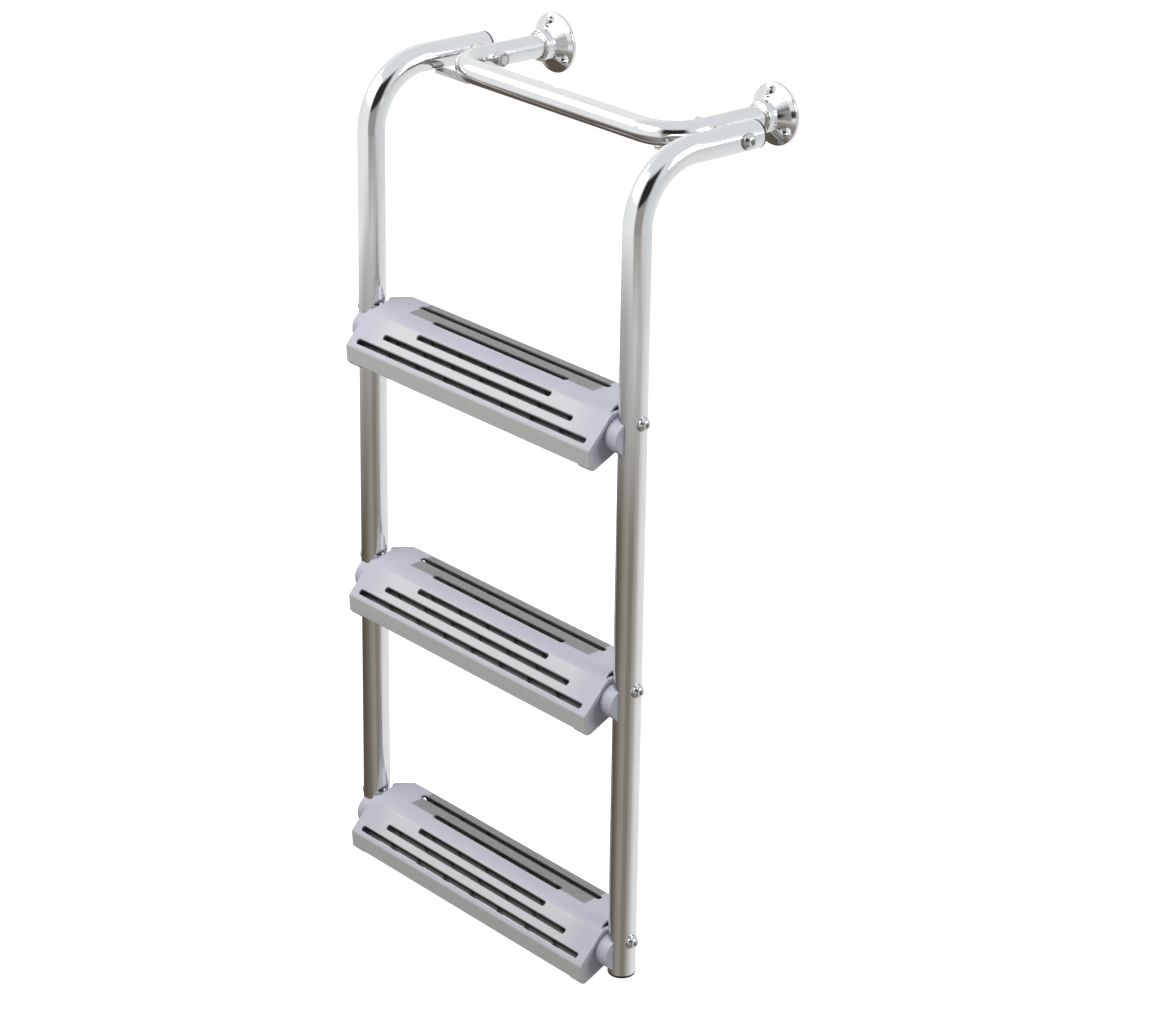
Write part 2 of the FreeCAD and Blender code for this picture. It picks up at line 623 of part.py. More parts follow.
def make_step(name, count):
    body = new_body(name, ("#bar_width / 2", "-#standoff",
                           "-(#neck_drop + %d * #step_pitch)" % count), tilt="#tread_tilt")
    half_wall = "0.5"
    middle = tread_corners(half_wall)
    middle = [corner if i == 2 else without_rounding(corner) for i, corner in enumerate(middle)]
    make_tread_shell(body)
    make_tread_ends(body, middle)
    make_tread_notches(body)
    make_corner_walls(body)
    make_cross_ribs(body, middle)
    full = "2 * " + WEB_FACE
    part = "%d * #rib_pitch" % (CROSS_RIBS - 1)
    make_long_rib(body, "nose_rib", "-#slot_third", full)
    make_long_rib(body, "front_rib", "-#slot_second", full)
    make_long_rib(body, "crown_rib", "-#slot_first", part)
    make_long_rib(body, "rear_rib", "#slot_near", part)
    make_long_rib(body, "heel_rib", "#slot_far", part)
    make_tread_slots(body)
    make_tread_saddles(body)


# The whole ladder

make_bow_bar()
for side in SIDES:
    make_flange("flange_" + side, SIDES[side][0])
    make_pivot(side)
    make_stop_tab(side)
    make_side_tube(side)
    make_plugs(side)
for count, step in enumerate(STEPS):
    make_step("step_" + step, count)
    for side in SIDES:
        make_step_bolt(step, count, side)
doc.recompute()

# Checks of every object, then one file for each piece

for item in doc.Objects:
    if "Invalid" in item.State or "Error" in item.State:
        raise RuntimeError(item.Name + " failed: " + str(item.State))
bodies = [item for item in doc.Objects if item.TypeId == "PartDesign::Body"]
os.makedirs("parts", exist_ok=True)
for body in bodies:
    shape = body.Shape
    if shape.isNull() or not shape.isValid():
        raise RuntimeError(body.Label + " has no valid shape")
    shape.exportStep(os.path.join("parts", body.Label + ".step"))
    box = shape.BoundBox
    print("%-26s solids %d  volume %9.0f  x %7.1f..%7.1f  y %7.1f..%7.1f  z %7.1f..%7.1f" % (
        body.Label, len(shape.Solids), shape.Volume,
        box.XMin, box.XMax, box.YMin, box.YMax, box.ZMin, box.ZMax))
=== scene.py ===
import math
import bpy
import numpy as np
from mathutils import Matrix, Vector


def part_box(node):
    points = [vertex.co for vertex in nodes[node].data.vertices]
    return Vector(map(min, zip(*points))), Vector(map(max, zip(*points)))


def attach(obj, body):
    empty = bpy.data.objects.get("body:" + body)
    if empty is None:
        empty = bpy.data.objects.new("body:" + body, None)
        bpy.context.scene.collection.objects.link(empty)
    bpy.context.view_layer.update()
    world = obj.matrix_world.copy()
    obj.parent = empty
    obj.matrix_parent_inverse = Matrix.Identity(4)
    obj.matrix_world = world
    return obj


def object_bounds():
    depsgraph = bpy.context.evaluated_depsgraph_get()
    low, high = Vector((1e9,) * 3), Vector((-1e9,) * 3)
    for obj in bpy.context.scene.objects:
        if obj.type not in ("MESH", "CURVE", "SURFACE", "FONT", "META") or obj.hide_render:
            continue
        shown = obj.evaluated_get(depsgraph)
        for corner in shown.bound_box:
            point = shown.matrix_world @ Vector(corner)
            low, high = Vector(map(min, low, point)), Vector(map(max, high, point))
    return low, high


# A folding bow ladder: two bent stainless side tubes with three moulded grey treads, hung on a
# U-shaped bow bar. Metres, in the frame of the solids: X to the climber's right, Y to the boat.
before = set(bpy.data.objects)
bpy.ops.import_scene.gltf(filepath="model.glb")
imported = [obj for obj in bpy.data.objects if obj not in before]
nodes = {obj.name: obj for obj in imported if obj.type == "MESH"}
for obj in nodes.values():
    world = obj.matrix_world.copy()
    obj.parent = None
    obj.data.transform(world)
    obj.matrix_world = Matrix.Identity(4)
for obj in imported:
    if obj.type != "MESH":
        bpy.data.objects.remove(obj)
cad_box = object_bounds()
MM = 0.001

# Camera
# The photograph looks down on the ladder from its front right through a long lens.
# The place, the turn and the lens are a pinhole fit of the tubes, treads and flanges.
CAMERA_PLACE = Vector((2412.4, -2051.9, 853.1)) * MM
CAMERA_AZIMUTH = math.radians(48.96)
CAMERA_ELEVATION = math.radians(22.556)
CAMERA_ROLL = math.radians(0.935)
CAMERA_LENS = 108.03
CAMERA_SENSOR = 36
CAMERA_REACH = 100


def towards(azimuth, elevation):
    """The unit vector from the ladder to where a camera or lamp at that azimuth and elevation
    stands: (sin a cos e, -cos a cos e, sin e)."""
    return Vector((math.sin(azimuth) * math.cos(elevation),
                   -math.cos(azimuth) * math.cos(elevation), math.sin(elevation)))


ahead = -towards(CAMERA_AZIMUTH, CAMERA_ELEVATION)
level = Vector((math.cos(CAMERA_AZIMUTH), math.sin(CAMERA_AZIMUTH), 0))
above = level.cross(ahead)
right = math.cos(CAMERA_ROLL) * level + math.sin(CAMERA_ROLL) * above
up = math.cos(CAMERA_ROLL) * above - math.sin(CAMERA_ROLL) * level
camera = bpy.data.objects.new("camera", bpy.data.cameras.new("camera"))
bpy.context.scene.collection.objects.link(camera)
camera.data.lens = CAMERA_LENS
camera.data.sensor_width = CAMERA_SENSOR
camera.data.clip_end = CAMERA_REACH
camera.matrix_world = (Matrix.Translation(CAMERA_PLACE)
                       @ Matrix((right, up, -ahead)).transposed().to_4x4())
bpy.context.scene.camera = camera
bpy.context.scene.view_settings.view_transform = "Standard"

# Floor
# A large sheet of painted white board under the hanging ladder, which takes its soft shadow.
# The camera sees it white; polished metal sees it with the studio's grey cards standing round it.
FLOOR_DROP = 260 * MM
FLOOR_HALF = 14
BOARD_COLOUR = "F4F4F3"
BOUNCE_COLOUR = "A3A3A2"    # the light that the board throws back at the ladder is dimmer
CAMERA_SIDE = math.radians(90) - CAMERA_AZIMUTH
# How white the board is for the camera close to the ladder and far off, and those distances:
# less close by, where the lamps light it and the ladder's shadow has to show.
BOARD_GLOW = (0.53, 0.98)
GLOW_REACH = (0.5, 2.4)
# The cards: degrees from the camera's side to its right, and what the metal sees there, on the
# floor near the ladder and further off, and on the walls, where the camera's side is darkest.
NEAR_CARDS = ((-180, "8C8375"), (-172, "635A4F"), (-112, "635A4F"), (-80, "787165"),
              (-55, "958F85"), (-24, "A09A91"), (-12, "8A847A"), (16, "8A847A"), (46, "C0BDB8"),
              (84, "F0F0EF"), (180, "F7F7F6"))
FAR_CARDS = ((-180, "D8D7D5"), (-172, "BDBBB9"), (-80, "B2B0AD"), (-30, "CBC9C7"), (0, "E0DFDE"),
             (38, "C3C1BF"), (90, "EDEDEC"), (180, "F9F9F9"))
WALL_CARDS = ((-180, "F4F5F6"), (-62, "FFFFFF"), (-30, "FFFFFF"), (-21, "A3A09B"), (24, "A3A09B"),
              (42, "DFE1E3"), (180, "ECEEF0"))
# The near cards give way to the far ones between these distances from the right tube's foot, in
# metres, and the far ones to the walls' colours between those.
NEAR_REACH = (1.65, 2.4)
FAR_REACH = (2.55, 3.0)
CARD_CENTRE = (330 * MM, -189 * MM)


def linear(code):
    """An sRGB colour written as six hex digits, as linear RGBA."""
    parts = [int(code[i:i + 2], 16) / 255 for i in (0, 2, 4)]
    return [c / 12.92 if c <= 0.04045 else ((c + 0.055) / 1.055) ** 2.4 for c in parts] + [1.0]


def add(tree, kind, settings=None, stops=None, **sockets):
    """Adds one node: settings are its properties, stops a ramp's places and colours from 0 to 1,
    sockets its inputs by name, or by number after an i, each a value or another node's socket."""
    node = tree.nodes.new(kind)
    for key, value in (settings or {}).items():
        setattr(node, key, value)
    if stops:
        elements = node.color_ramp.elements
        for place, colour in stops[1:-1]:
            elements.new(place).color = linear(colour)
        elements[0].color, elements[-1].color = linear(stops[0][1]), linear(stops[-1][1])
    for key, value in sockets.items():
        numbered = key[0] == "i" and key[1:].isdigit()
        socket = node.inputs[int(key[1:]) if numbered else key.replace("_", " ")]
        if isinstance(value, bpy.types.NodeSocket):
            tree.links.new(value, socket)
        else:
            socket.default_value = value
    return node


def new_material(name):
    """An empty node material and its tree."""
    material = bpy.data.materials.new(name)
    material.use_nodes = True
    material.node_tree.nodes.clear()
    return material, material.node_tree


def card_stops(cards):
    """The cards as a ramp's stops: a radial gradient runs from 0 to 1 over the full turn."""
    return [(bearing / 360 + 0.5, colour) for bearing, colour in cards]


low, high = cad_box
floor_z = low.z - FLOOR_DROP
floor_mesh = bpy.data.meshes.new("floor")
floor_mesh.from_pydata([(x * FLOOR_HALF, y * FLOOR_HALF, floor_z)
                        for x, y in ((-1, -1), (1, -1), (1, 1), (-1, 1))], [], [(0, 1, 2, 3)])
floor = bpy.data.objects.new("floor", floor_mesh)
bpy.context.scene.collection.objects.link(floor)

paint, tree = new_material("matt_white_painted_board")
place = add(tree, "ShaderNodeTexCoord").outputs["Object"]
middle = (low + high) / 2
offset = add(tree, "ShaderNodeVectorMath", {"operation": "SUBTRACT"}, i0=place,
             i1=(*CARD_CENTRE, floor_z))
turned = add(tree, "ShaderNodeMapping", i0=offset.outputs[0], Rotation=(0, 0, CAMERA_SIDE))
bearing = add(tree, "ShaderNodeTexGradient", {"gradient_type": "RADIAL"}, i0=turned.outputs[0])
near, far, wall = [add(tree, "ShaderNodeValToRGB", stops=card_stops(cards),
                       i0=bearing.outputs[1]).outputs[0]
                   for cards in (NEAR_CARDS, FAR_CARDS, WALL_CARDS)]
reach = add(tree, "ShaderNodeVectorMath", {"operation": "LENGTH"}, i0=offset.outputs[0])
shown = near
for span, beyond in ((NEAR_REACH, far), (FAR_REACH, wall)):
    away = add(tree, "ShaderNodeMapRange", i0=reach.outputs["Value"], i1=span[0], i2=span[1])
    shown = add(tree, "ShaderNodeMix", {"data_type": "RGBA"}, i0=away.outputs[0], i6=shown,
                i7=beyond).outputs[2]
path = add(tree, "ShaderNodeLightPath")
colour = add(tree, "ShaderNodeMix", {"data_type": "RGBA"}, i0=path.outputs["Is Camera Ray"],
             i6=linear(BOUNCE_COLOUR), i7=linear(BOARD_COLOUR))
matt = add(tree, "ShaderNodeBsdfDiffuse", Color=colour.outputs[2])
mirrored = add(tree, "ShaderNodeEmission", Color=shown, Strength=1.0)
board = add(tree, "ShaderNodeMixShader", i0=path.outputs["Is Glossy Ray"], i1=matt.outputs[0],
            i2=mirrored.outputs[0])
further = add(tree, "ShaderNodeMapRange", i0=reach.outputs["Value"], i1=GLOW_REACH[0],
              i2=GLOW_REACH[1], i3=BOARD_GLOW[0], i4=BOARD_GLOW[1])
white = add(tree, "ShaderNodeMath", {"operation": "MULTIPLY"}, i0=path.outputs["Is Camera Ray"],
            i1=further.outputs[0])
glow = add(tree, "ShaderNodeEmission", Color=linear("FFFFFF"), Strength=white.outputs[0])
board = add(tree, "ShaderNodeAddShader", i0=board.outputs[0], i1=glow.outputs[0])
add(tree, "ShaderNodeOutputMaterial", Surface=board.outputs[0])
floor_mesh.materials.append(paint)

# Room and lamps
# A white room that lights the ladder softly, with grey cards low down for the metal to reflect.
# A key lamp stands high in front, a softbox to its left gives the treads their sheen, and a
# weak fill, to the right and behind, lights the ends and the side that faces the boat.
ROOM_LIGHT = 0.14
ROOM_TOP = "EEF0F2"
# A black card hangs on the camera's side: bearings as above, and its two soft edges in degrees
# above the level.
BLACK_CARD = ((-180, "FFFFFF"), (-33, "FFFFFF"), (-22, "2B2C2C"), (26, "2B2C2C"), (40, ROOM_TOP),
              (180, ROOM_TOP))
BLACK_CARD_FOOT = (9, 14)
BLACK_CARD_TOP = (44, 54)
# Lamp: name, azimuth and elevation that it shines from in degrees, distance, side, watts.
LAMPS = (("key", -12, 42, 3.0, 1.7, 51),
         ("softbox", -58, 36, 3.0, 1.3, 16),
         ("side_fill", 118, 28, 3.0, 1.2, 34))

world = bpy.data.worlds.new("room")
bpy.context.scene.world = world
world.use_nodes = True
tree = world.node_tree
tree.nodes.clear()
direction = add(tree, "ShaderNodeTexCoord").outputs["Generated"]
turned = add(tree, "ShaderNodeMapping", i0=direction, Rotation=(0, 0, CAMERA_SIDE))
bearing = add(tree, "ShaderNodeTexGradient", {"gradient_type": "RADIAL"}, i0=turned.outputs[0])
walls, black_card = [add(tree, "ShaderNodeValToRGB", stops=card_stops(cards),
                         i0=bearing.outputs[1]).outputs[0]
                     for cards in (WALL_CARDS, BLACK_CARD)]
height = add(tree, "ShaderNodeSeparateXYZ", i0=direction)
for edge, over in ((BLACK_CARD_FOOT, black_card), (BLACK_CARD_TOP, linear(ROOM_TOP))):
    low_sine, high_sine = [math.sin(math.radians(degrees)) for degrees in edge]
    past = add(tree, "ShaderNodeMapRange", i0=height.outputs[2], i1=low_sine, i2=high_sine)
    walls = add(tree, "ShaderNodeMix", {"data_type": "RGBA"}, i0=past.outputs[0], i6=walls,
                i7=over).outputs[2]
path = add(tree, "ShaderNodeLightPath")
shown = add(tree, "ShaderNodeMix", {"data_type": "RGBA"}, i0=path.outputs["Is Glossy Ray"],
            i6=linear("FFFFFF"), i7=walls)
seen = add(tree, "ShaderNodeMath", {"operation": "MAXIMUM"}, i0=path.outputs["Is Camera Ray"],
           i1=path.outputs["Is Glossy Ray"])
strength = add(tree, "ShaderNodeMapRange", i0=seen.outputs[0], i3=ROOM_LIGHT, i4=1.0)
room = add(tree, "ShaderNodeBackground", Color=shown.outputs[2], Strength=strength.outputs[0])
add(tree, "ShaderNodeOutputWorld", Surface=room.outputs[0])

for name, azimuth, elevation, distance, side, watts in LAMPS:
    lamp = bpy.data.objects.new(name, bpy.data.lights.new(name, "AREA"))
    bpy.context.scene.collection.objects.link(lamp)
    lamp.data.size = side
    lamp.data.energy = watts
    back = towards(math.radians(azimuth), math.radians(elevation))
    lamp.location = middle + back * distance
    lamp.rotation_mode = "QUATERNION"
    lamp.rotation_quaternion = (-back).to_track_quat("-Z", "Y")

# Flanges
# Two round flanges that hold the bow bar to the boat's bow, turned from stainless bar and buffed
# on the lathe, each with three screw holes. The bar's ends are welded into their sockets.
TURNED_LINE = 0.7 * MM    # a lathe's feed is about 0.1 mm: drawn coarser, or it wouldn't show
WAVE_STEP = math.tau / 20    # a wave texture of scale 1 repeats after this length
SOCKET_BEAD = (11.9 * MM, 1.1 * MM)
BEAD_PITCH = 1.9 * MM
STAINLESS = "E8E9EA"
HANDLED = "D9DADB"
FINGERMARK = 14 * MM
EDGE_BREAK = 0.25 * MM
WELD_GRAIN = 1.5 * MM


def turned_steel(name, axis, centre, colour, rough, line):
    """Bright stainless with fine rings about an axis, as a lathe and a buff leave them: the
    highlights run round the piece, and a few fingermarks dull it."""
    material, tree = new_material(name)
    place = add(tree, "ShaderNodeTexCoord").outputs["Object"]
    centred = add(tree, "ShaderNodeVectorMath", {"operation": "SUBTRACT"}, i0=place, i1=centre)
    rings = add(tree, "ShaderNodeTexWave", {"wave_type": "RINGS", "rings_direction": axis},
                Vector=centred.outputs[0], Scale=WAVE_STEP / line, Distortion=0.6, Detail=2.0)
    marks = add(tree, "ShaderNodeTexNoise", Vector=place, Scale=1 / FINGERMARK, Detail=4.0)
    blotch = add(tree, "ShaderNodeMapRange", i0=marks.outputs[0], i1=0.35, i2=0.7,
                 i3=rough, i4=rough + 0.07)
    tint = add(tree, "ShaderNodeMix", {"data_type": "RGBA"}, i0=marks.outputs[0],
               i6=linear(colour), i7=linear(HANDLED))
    lines = add(tree, "ShaderNodeBump", Strength=0.25, Distance=0.01 * MM, Height=rings.outputs[0])
    soft = add(tree, "ShaderNodeBevel", {"samples": 4}, Radius=EDGE_BREAK, Normal=lines.outputs[0])
    shader = add(tree, "ShaderNodeBsdfPrincipled", Base_Color=tint.outputs[2], Metallic=1.0,
                 Roughness=blotch.outputs[0], Normal=soft.outputs[0])
    add(tree, "ShaderNodeOutputMaterial", Surface=shader.outputs[0])
    return material


def surface(name, grids, material, body):
    """One mesh over grids of points, each an array of rows x columns x xyz. The columns close
    round, so a grid is a tube, and a quad joins each point to the next in row and column."""
    points, faces, count = [], [], 0
    for grid in grids:
        rows, columns = grid.shape[:2]
        number = count + np.arange(rows * columns).reshape(rows, columns)
        after = np.roll(number, -1, axis=1)
        quads = np.stack([number[:-1], after[:-1], after[1:], number[1:]], axis=-1)
        points.append(grid.reshape(-1, 3))
        faces.append(quads.reshape(-1, 4))
        count += rows * columns
    mesh = bpy.data.meshes.new(name)
    mesh.from_pydata(np.concatenate(points).tolist(), [], np.concatenate(faces).tolist())
    mesh.polygons.foreach_set("use_smooth", np.ones(len(mesh.polygons), bool))
    mesh.materials.append(material)
    piece = bpy.data.objects.new(name, mesh)
    bpy.context.scene.collection.objects.link(piece)
    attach(piece, body)
    return piece


def ring_bead(centre, radius, thick, columns=24):
    """A weld bead round the Y axis: p(u, v) = centre + (R + r cos v)(cos u, 0, sin u) + r sin v Y,
    with r = thick (0.88 + 0.12 |sin(n u / 2)|) for the n ripples that the torch leaves."""
    ripples = round(math.tau * radius / BEAD_PITCH)
    u = np.linspace(0, math.tau, ripples * 6 + 1)[:, None]
    v = np.linspace(0, math.tau, columns, endpoint=False)[None, :]
    r = thick * (0.88 + 0.12 * np.abs(np.sin(ripples * u / 2)))
    out = radius + r * np.cos(v)
    return np.stack([centre[0] + out * np.cos(u), centre[1] + r * np.sin(v),
                     centre[2] + out * np.sin(u)], axis=-1)


weld, tree = new_material("brushed_weld_bead")
# A bead of stainless filler, wire brushed: duller and a little straw coloured beside the polish.
place = add(tree, "ShaderNodeTexCoord").outputs["Object"]
grain = add(tree, "ShaderNodeTexNoise", Vector=place, Scale=1 / WELD_GRAIN, Detail=3.0)
straw = add(tree, "ShaderNodeMix", {"data_type": "RGBA"}, i0=grain.outputs[0],
            i6=linear("DEDEDC"), i7=linear("CFCBC4"))
pits = add(tree, "ShaderNodeBump", Strength=0.3, Distance=0.05 * MM, Height=grain.outputs[0])
shader = add(tree, "ShaderNodeBsdfPrincipled", Base_Color=straw.outputs[2], Metallic=1.0,
             Roughness=0.3, Normal=pits.outputs[0])
add(tree, "ShaderNodeOutputMaterial", Surface=shader.outputs[0])

for side in ("left", "right"):
    corner, far_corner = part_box("flange_" + side)
    axis_x = (corner.x + far_corner.x) / 2
    nodes["flange_" + side].data.materials[0] = turned_steel(
        "turned_stainless_flange_" + side, "Y", (axis_x, 0, 0), STAINLESS, 0.07, TURNED_LINE)
    bead = ring_bead((axis_x, corner.y, 0), *SOCKET_BEAD)
    surface("socket_weld_" + side, [bead], weld, "bow_mount")

# Bow bar
# One stainless tube bent cold into a U, then polished to a mirror with a belt that runs round it.
# The belt leaves hair lines round the tube, and hands leave faint smears along it.
POLISH_LINE = 1.2 * MM    # belt lines are some 0.05 mm apart: drawn coarser, or they'd not show
HAIR_LENGTH = 20 * MM
SMEAR = 34 * MM
BAR_BEND_Y = -88 * MM
BAR_BLEND = 30 * MM    # the lines turn from across the legs to across the crossbar over this


def polished_tube(name, first, second, start, end):
    """Mirror polished stainless tube. Its hair lines lie across the tube: across axis first
    below the plane start and across axis second past the plane end, each (axis, place)."""
    material, tree = new_material(name)
    place = add(tree, "ShaderNodeTexCoord").outputs["Object"]
    across = []
    for axis in (first, second):
        fine = [1 / HAIR_LENGTH] * 3
        fine[axis] = 1 / POLISH_LINE
        stretched = add(tree, "ShaderNodeMapping", i0=place, Scale=fine)
        across.append(add(tree, "ShaderNodeTexNoise", Vector=stretched.outputs[0], Scale=1.0,
                          Detail=2.0).outputs[0])
    where = add(tree, "ShaderNodeSeparateXYZ", i0=place).outputs[start[0]]
    past = add(tree, "ShaderNodeMapRange", i0=where, i1=start[1], i2=end)
    hairs = add(tree, "ShaderNodeMix", i0=past.outputs[0], i2=across[0], i3=across[1])
    smear = add(tree, "ShaderNodeTexNoise", Vector=place, Scale=1 / SMEAR, Detail=3.0)
    rough = add(tree, "ShaderNodeMapRange", i0=smear.outputs[0], i1=0.3, i2=0.75, i3=0.06, i4=0.12)
    tint = add(tree, "ShaderNodeMix", {"data_type": "RGBA"}, i0=smear.outputs[0],
               i6=linear(STAINLESS), i7=linear("DFE0E1"))
    lines = add(tree, "ShaderNodeBump", Strength=0.2, Distance=0.01 * MM, Height=hairs.outputs[0])
    shader = add(tree, "ShaderNodeBsdfPrincipled", Base_Color=tint.outputs[2], Metallic=1.0,
                 Roughness=rough.outputs[0], Normal=lines.outputs[0])
    add(tree, "ShaderNodeOutputMaterial", Surface=shader.outputs[0])
    return material


nodes["bow_bar"].data.materials[0] = polished_tube(
    "polished_stainless_bar", 0, 1, (1, BAR_BEND_Y - BAR_BLEND), BAR_BEND_Y)

# Stop tabs
# A short flat of stainless plate under each corner of the bow bar, welded along both sides of
# the bar and left with the satin of the sheet. The folding arm comes to rest on it.
BAR_RADIUS = 36 * MM
TAB_BEAD = 1.1 * MM
TAB_BEAD_AWAY = 4.2 * MM
TAB_BEAD_LIFT = 0.3 * MM
TAB_BEAD_ARC = (math.radians(41), math.radians(65))
ROLLED_LINE = 0.5 * MM
ROLLED_LENGTH = 25 * MM


def arc_bead(centre, radius, side, height, thick, rows=60, columns=16):
    """A weld bead along an arc: its line is centre + radius (-side cos u, -sin u) at one height,
    and round it v turns with r = thick (1 - s^6) (0.9 + 0.1 |sin ripple|), s from -1 to 1 along
    the bead, so its ends close."""
    s = np.linspace(-1, 1, rows)[:, None]
    first, last = TAB_BEAD_ARC
    u = first + (last - first) * (s + 1) / 2
    v = np.linspace(0, math.tau, columns, endpoint=False)[None, :] * side
    ripple = np.abs(np.sin(math.pi * radius * u / BEAD_PITCH))
    r = thick * (1 - s ** 6) * (0.9 + 0.1 * ripple)
    out = radius + r * np.cos(v)
    return np.stack([centre[0] - side * out * np.cos(u), centre[1] - out * np.sin(u),
                     height + r * np.sin(v) + 0 * u], axis=-1)


satin, tree = new_material("satin_stainless_plate")
# Sheet with a rolled satin finish: long faint lines one way and a dull, even sheen.
place = add(tree, "ShaderNodeTexCoord").outputs["Object"]
stretched = add(tree, "ShaderNodeMapping", i0=place,
                Scale=(1 / ROLLED_LENGTH, 1 / ROLLED_LINE, 1 / ROLLED_LINE))
rolled = add(tree, "ShaderNodeTexNoise", Vector=stretched.outputs[0], Scale=1.0, Detail=3.0)
dull = add(tree, "ShaderNodeMapRange", i0=rolled.outputs[0], i1=0.3, i2=0.7, i3=0.24, i4=0.36)
lines = add(tree, "ShaderNodeBump", Strength=0.3, Distance=0.02 * MM, Height=rolled.outputs[0])
shader = add(tree, "ShaderNodeBsdfPrincipled", Base_Color=linear("CFCFCD"), Metallic=1.0,
             Roughness=dull.outputs[0], Normal=lines.outputs[0])
add(tree, "ShaderNodeOutputMaterial", Surface=shader.outputs[0])

bar_low, bar_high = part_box("bow_bar")
bar_half = (bar_high.z - bar_low.z) / 2
for side, sign in (("left", 1), ("right", -1)):
    tab_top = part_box("stop_tab_" + side)[1].z
    nodes["stop_tab_" + side].data.materials[0] = satin
    edge = bar_low.x if sign == 1 else bar_high.x
    bend = (edge + sign * (bar_half + BAR_RADIUS), BAR_BEND_Y)
    beads = [arc_bead(bend, BAR_RADIUS + out, sign, tab_top + TAB_BEAD_LIFT, TAB_BEAD)
             for out in (-TAB_BEAD_AWAY, TAB_BEAD_AWAY)]
    surface("tab_weld_" + side, beads, weld, "bow_mount")

# Fold pivots
# A stainless bolt through each leg of the bow bar and the arm beside it, with a white bearing
# spacer between them, a formed washer under its head and a locking nut inside.
WASHER_LIP = 0.12 * MM
ACETAL_CLOUD = 6 * MM
NYLON_MOTTLE = 3 * MM
PIVOT_BORE = 4.05 * MM
PIVOT_WASHER = 7.6 * MM
TUBE_RADIUS = 12.7 * MM
PIVOT_CLEAR = 0.1 * MM
FASTENER_COLOUR = "C9C9C8"
# The collar that holds a lock nut's ring: height over the nut and inset from its flats, in mm.
RING_SHOULDER = ((-0.2, 0.4), (0.45, 0.4), (0.765, 0.65), (0.9, 1.1))


def revolved(centre, outward, profile, columns=40):
    """A closed profile of (distance outwards, radius) pairs turned about the X axis:
    p(s, v) = centre + outward d(s) X + r(s) (0, cos v, sin v)."""
    d, r = np.array(profile + profile[:1]).T[:, :, None]
    v = np.linspace(0, math.tau, columns, endpoint=False)[None, :] * outward
    return np.stack([centre[0] + outward * d + 0 * v, centre[1] + r * np.cos(v),
                     centre[2] + r * np.sin(v)], axis=-1)


def saddle_washer(centre, outward, tube, bore, rim, columns=48):
    """A washer whose outer face is flat and whose inner face lies on the tube's crown:
    rings of radius r from the bore to the rim and back, at x = tube outside, and at
    x = sqrt(tube^2 - (r cos v)^2) inside."""
    v = np.linspace(0, math.tau, columns, endpoint=False)[None, :] * outward
    out = np.linspace(bore, rim, 8)[:, None]
    back = out[::-1]
    flat = tube + WASHER_LIP + 0 * out * v
    hollow = np.sqrt(tube ** 2 - (back * np.cos(v)) ** 2)
    r = np.concatenate([out + 0 * v, back + 0 * v, out[:1] + 0 * v])
    x = np.concatenate([flat, hollow, flat[:1]])
    v = 0 * r + v
    return np.stack([centre[0] + outward * x, centre[1] + r * np.cos(v),
                     centre[2] + r * np.sin(v)], axis=-1)


acetal, tree = new_material("turned_white_acetal")
# Turned bearing plastic: nearly white, a soft waxy gloss, with the lathe's fine rings.
place = add(tree, "ShaderNodeTexCoord").outputs["Object"]
rings = add(tree, "ShaderNodeTexWave", {"bands_direction": "X"}, Vector=place,
            Scale=WAVE_STEP / TURNED_LINE, Distortion=0.3)
cloud = add(tree, "ShaderNodeTexNoise", Vector=place, Scale=1 / ACETAL_CLOUD, Detail=2.0)
milk = add(tree, "ShaderNodeMix", {"data_type": "RGBA"}, i0=cloud.outputs[0],
           i6=linear("EDECE7"), i7=linear("DFDED8"))
lines = add(tree, "ShaderNodeBump", Strength=0.2, Distance=0.02 * MM, Height=rings.outputs[0])
shader = add(tree, "ShaderNodeBsdfPrincipled", Base_Color=milk.outputs[2], Roughness=0.36,
             IOR=1.48, Normal=lines.outputs[0])
add(tree, "ShaderNodeOutputMaterial", Surface=shader.outputs[0])

nylon, tree = new_material("moulded_nylon")
# Natural nylon of lock nuts and washers: a cool milky white with a faint mottle.
place = add(tree, "ShaderNodeTexCoord").outputs["Object"]
cloud = add(tree, "ShaderNodeTexNoise", Vector=place, Scale=1 / NYLON_MOTTLE, Detail=3.0)
milk = add(tree, "ShaderNodeMix", {"data_type": "RGBA"}, i0=cloud.outputs[0],
           i6=linear("C9CCD0"), i7=linear("B4B8BD"))
bumps = add(tree, "ShaderNodeBump", Strength=0.2, Distance=0.03 * MM, Height=cloud.outputs[0])
shader = add(tree, "ShaderNodeBsdfPrincipled", Base_Color=milk.outputs[2], Roughness=0.42,
             IOR=1.53, Normal=bumps.outputs[0])
add(tree, "ShaderNodeOutputMaterial", Surface=shader.outputs[0])


def nut_ring(nut, inwards, bore):
    """The rounded collar of a lock nut that holds its nylon ring, on the nut's inner face."""
    corner, far_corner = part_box(nut)
    centre = (far_corner.x if inwards > 0 else corner.x, (corner.y + far_corner.y) / 2,
              (corner.z + far_corner.z) / 2)
    flats = (far_corner.y - corner.y) / 2
    shoulder = [(height * MM, flats - inset * MM) for height, inset in RING_SHOULDER]
    profile = [(shoulder[0][0], bore), *shoulder, (shoulder[-1][0], bore)]
    return revolved(centre, inwards, profile)


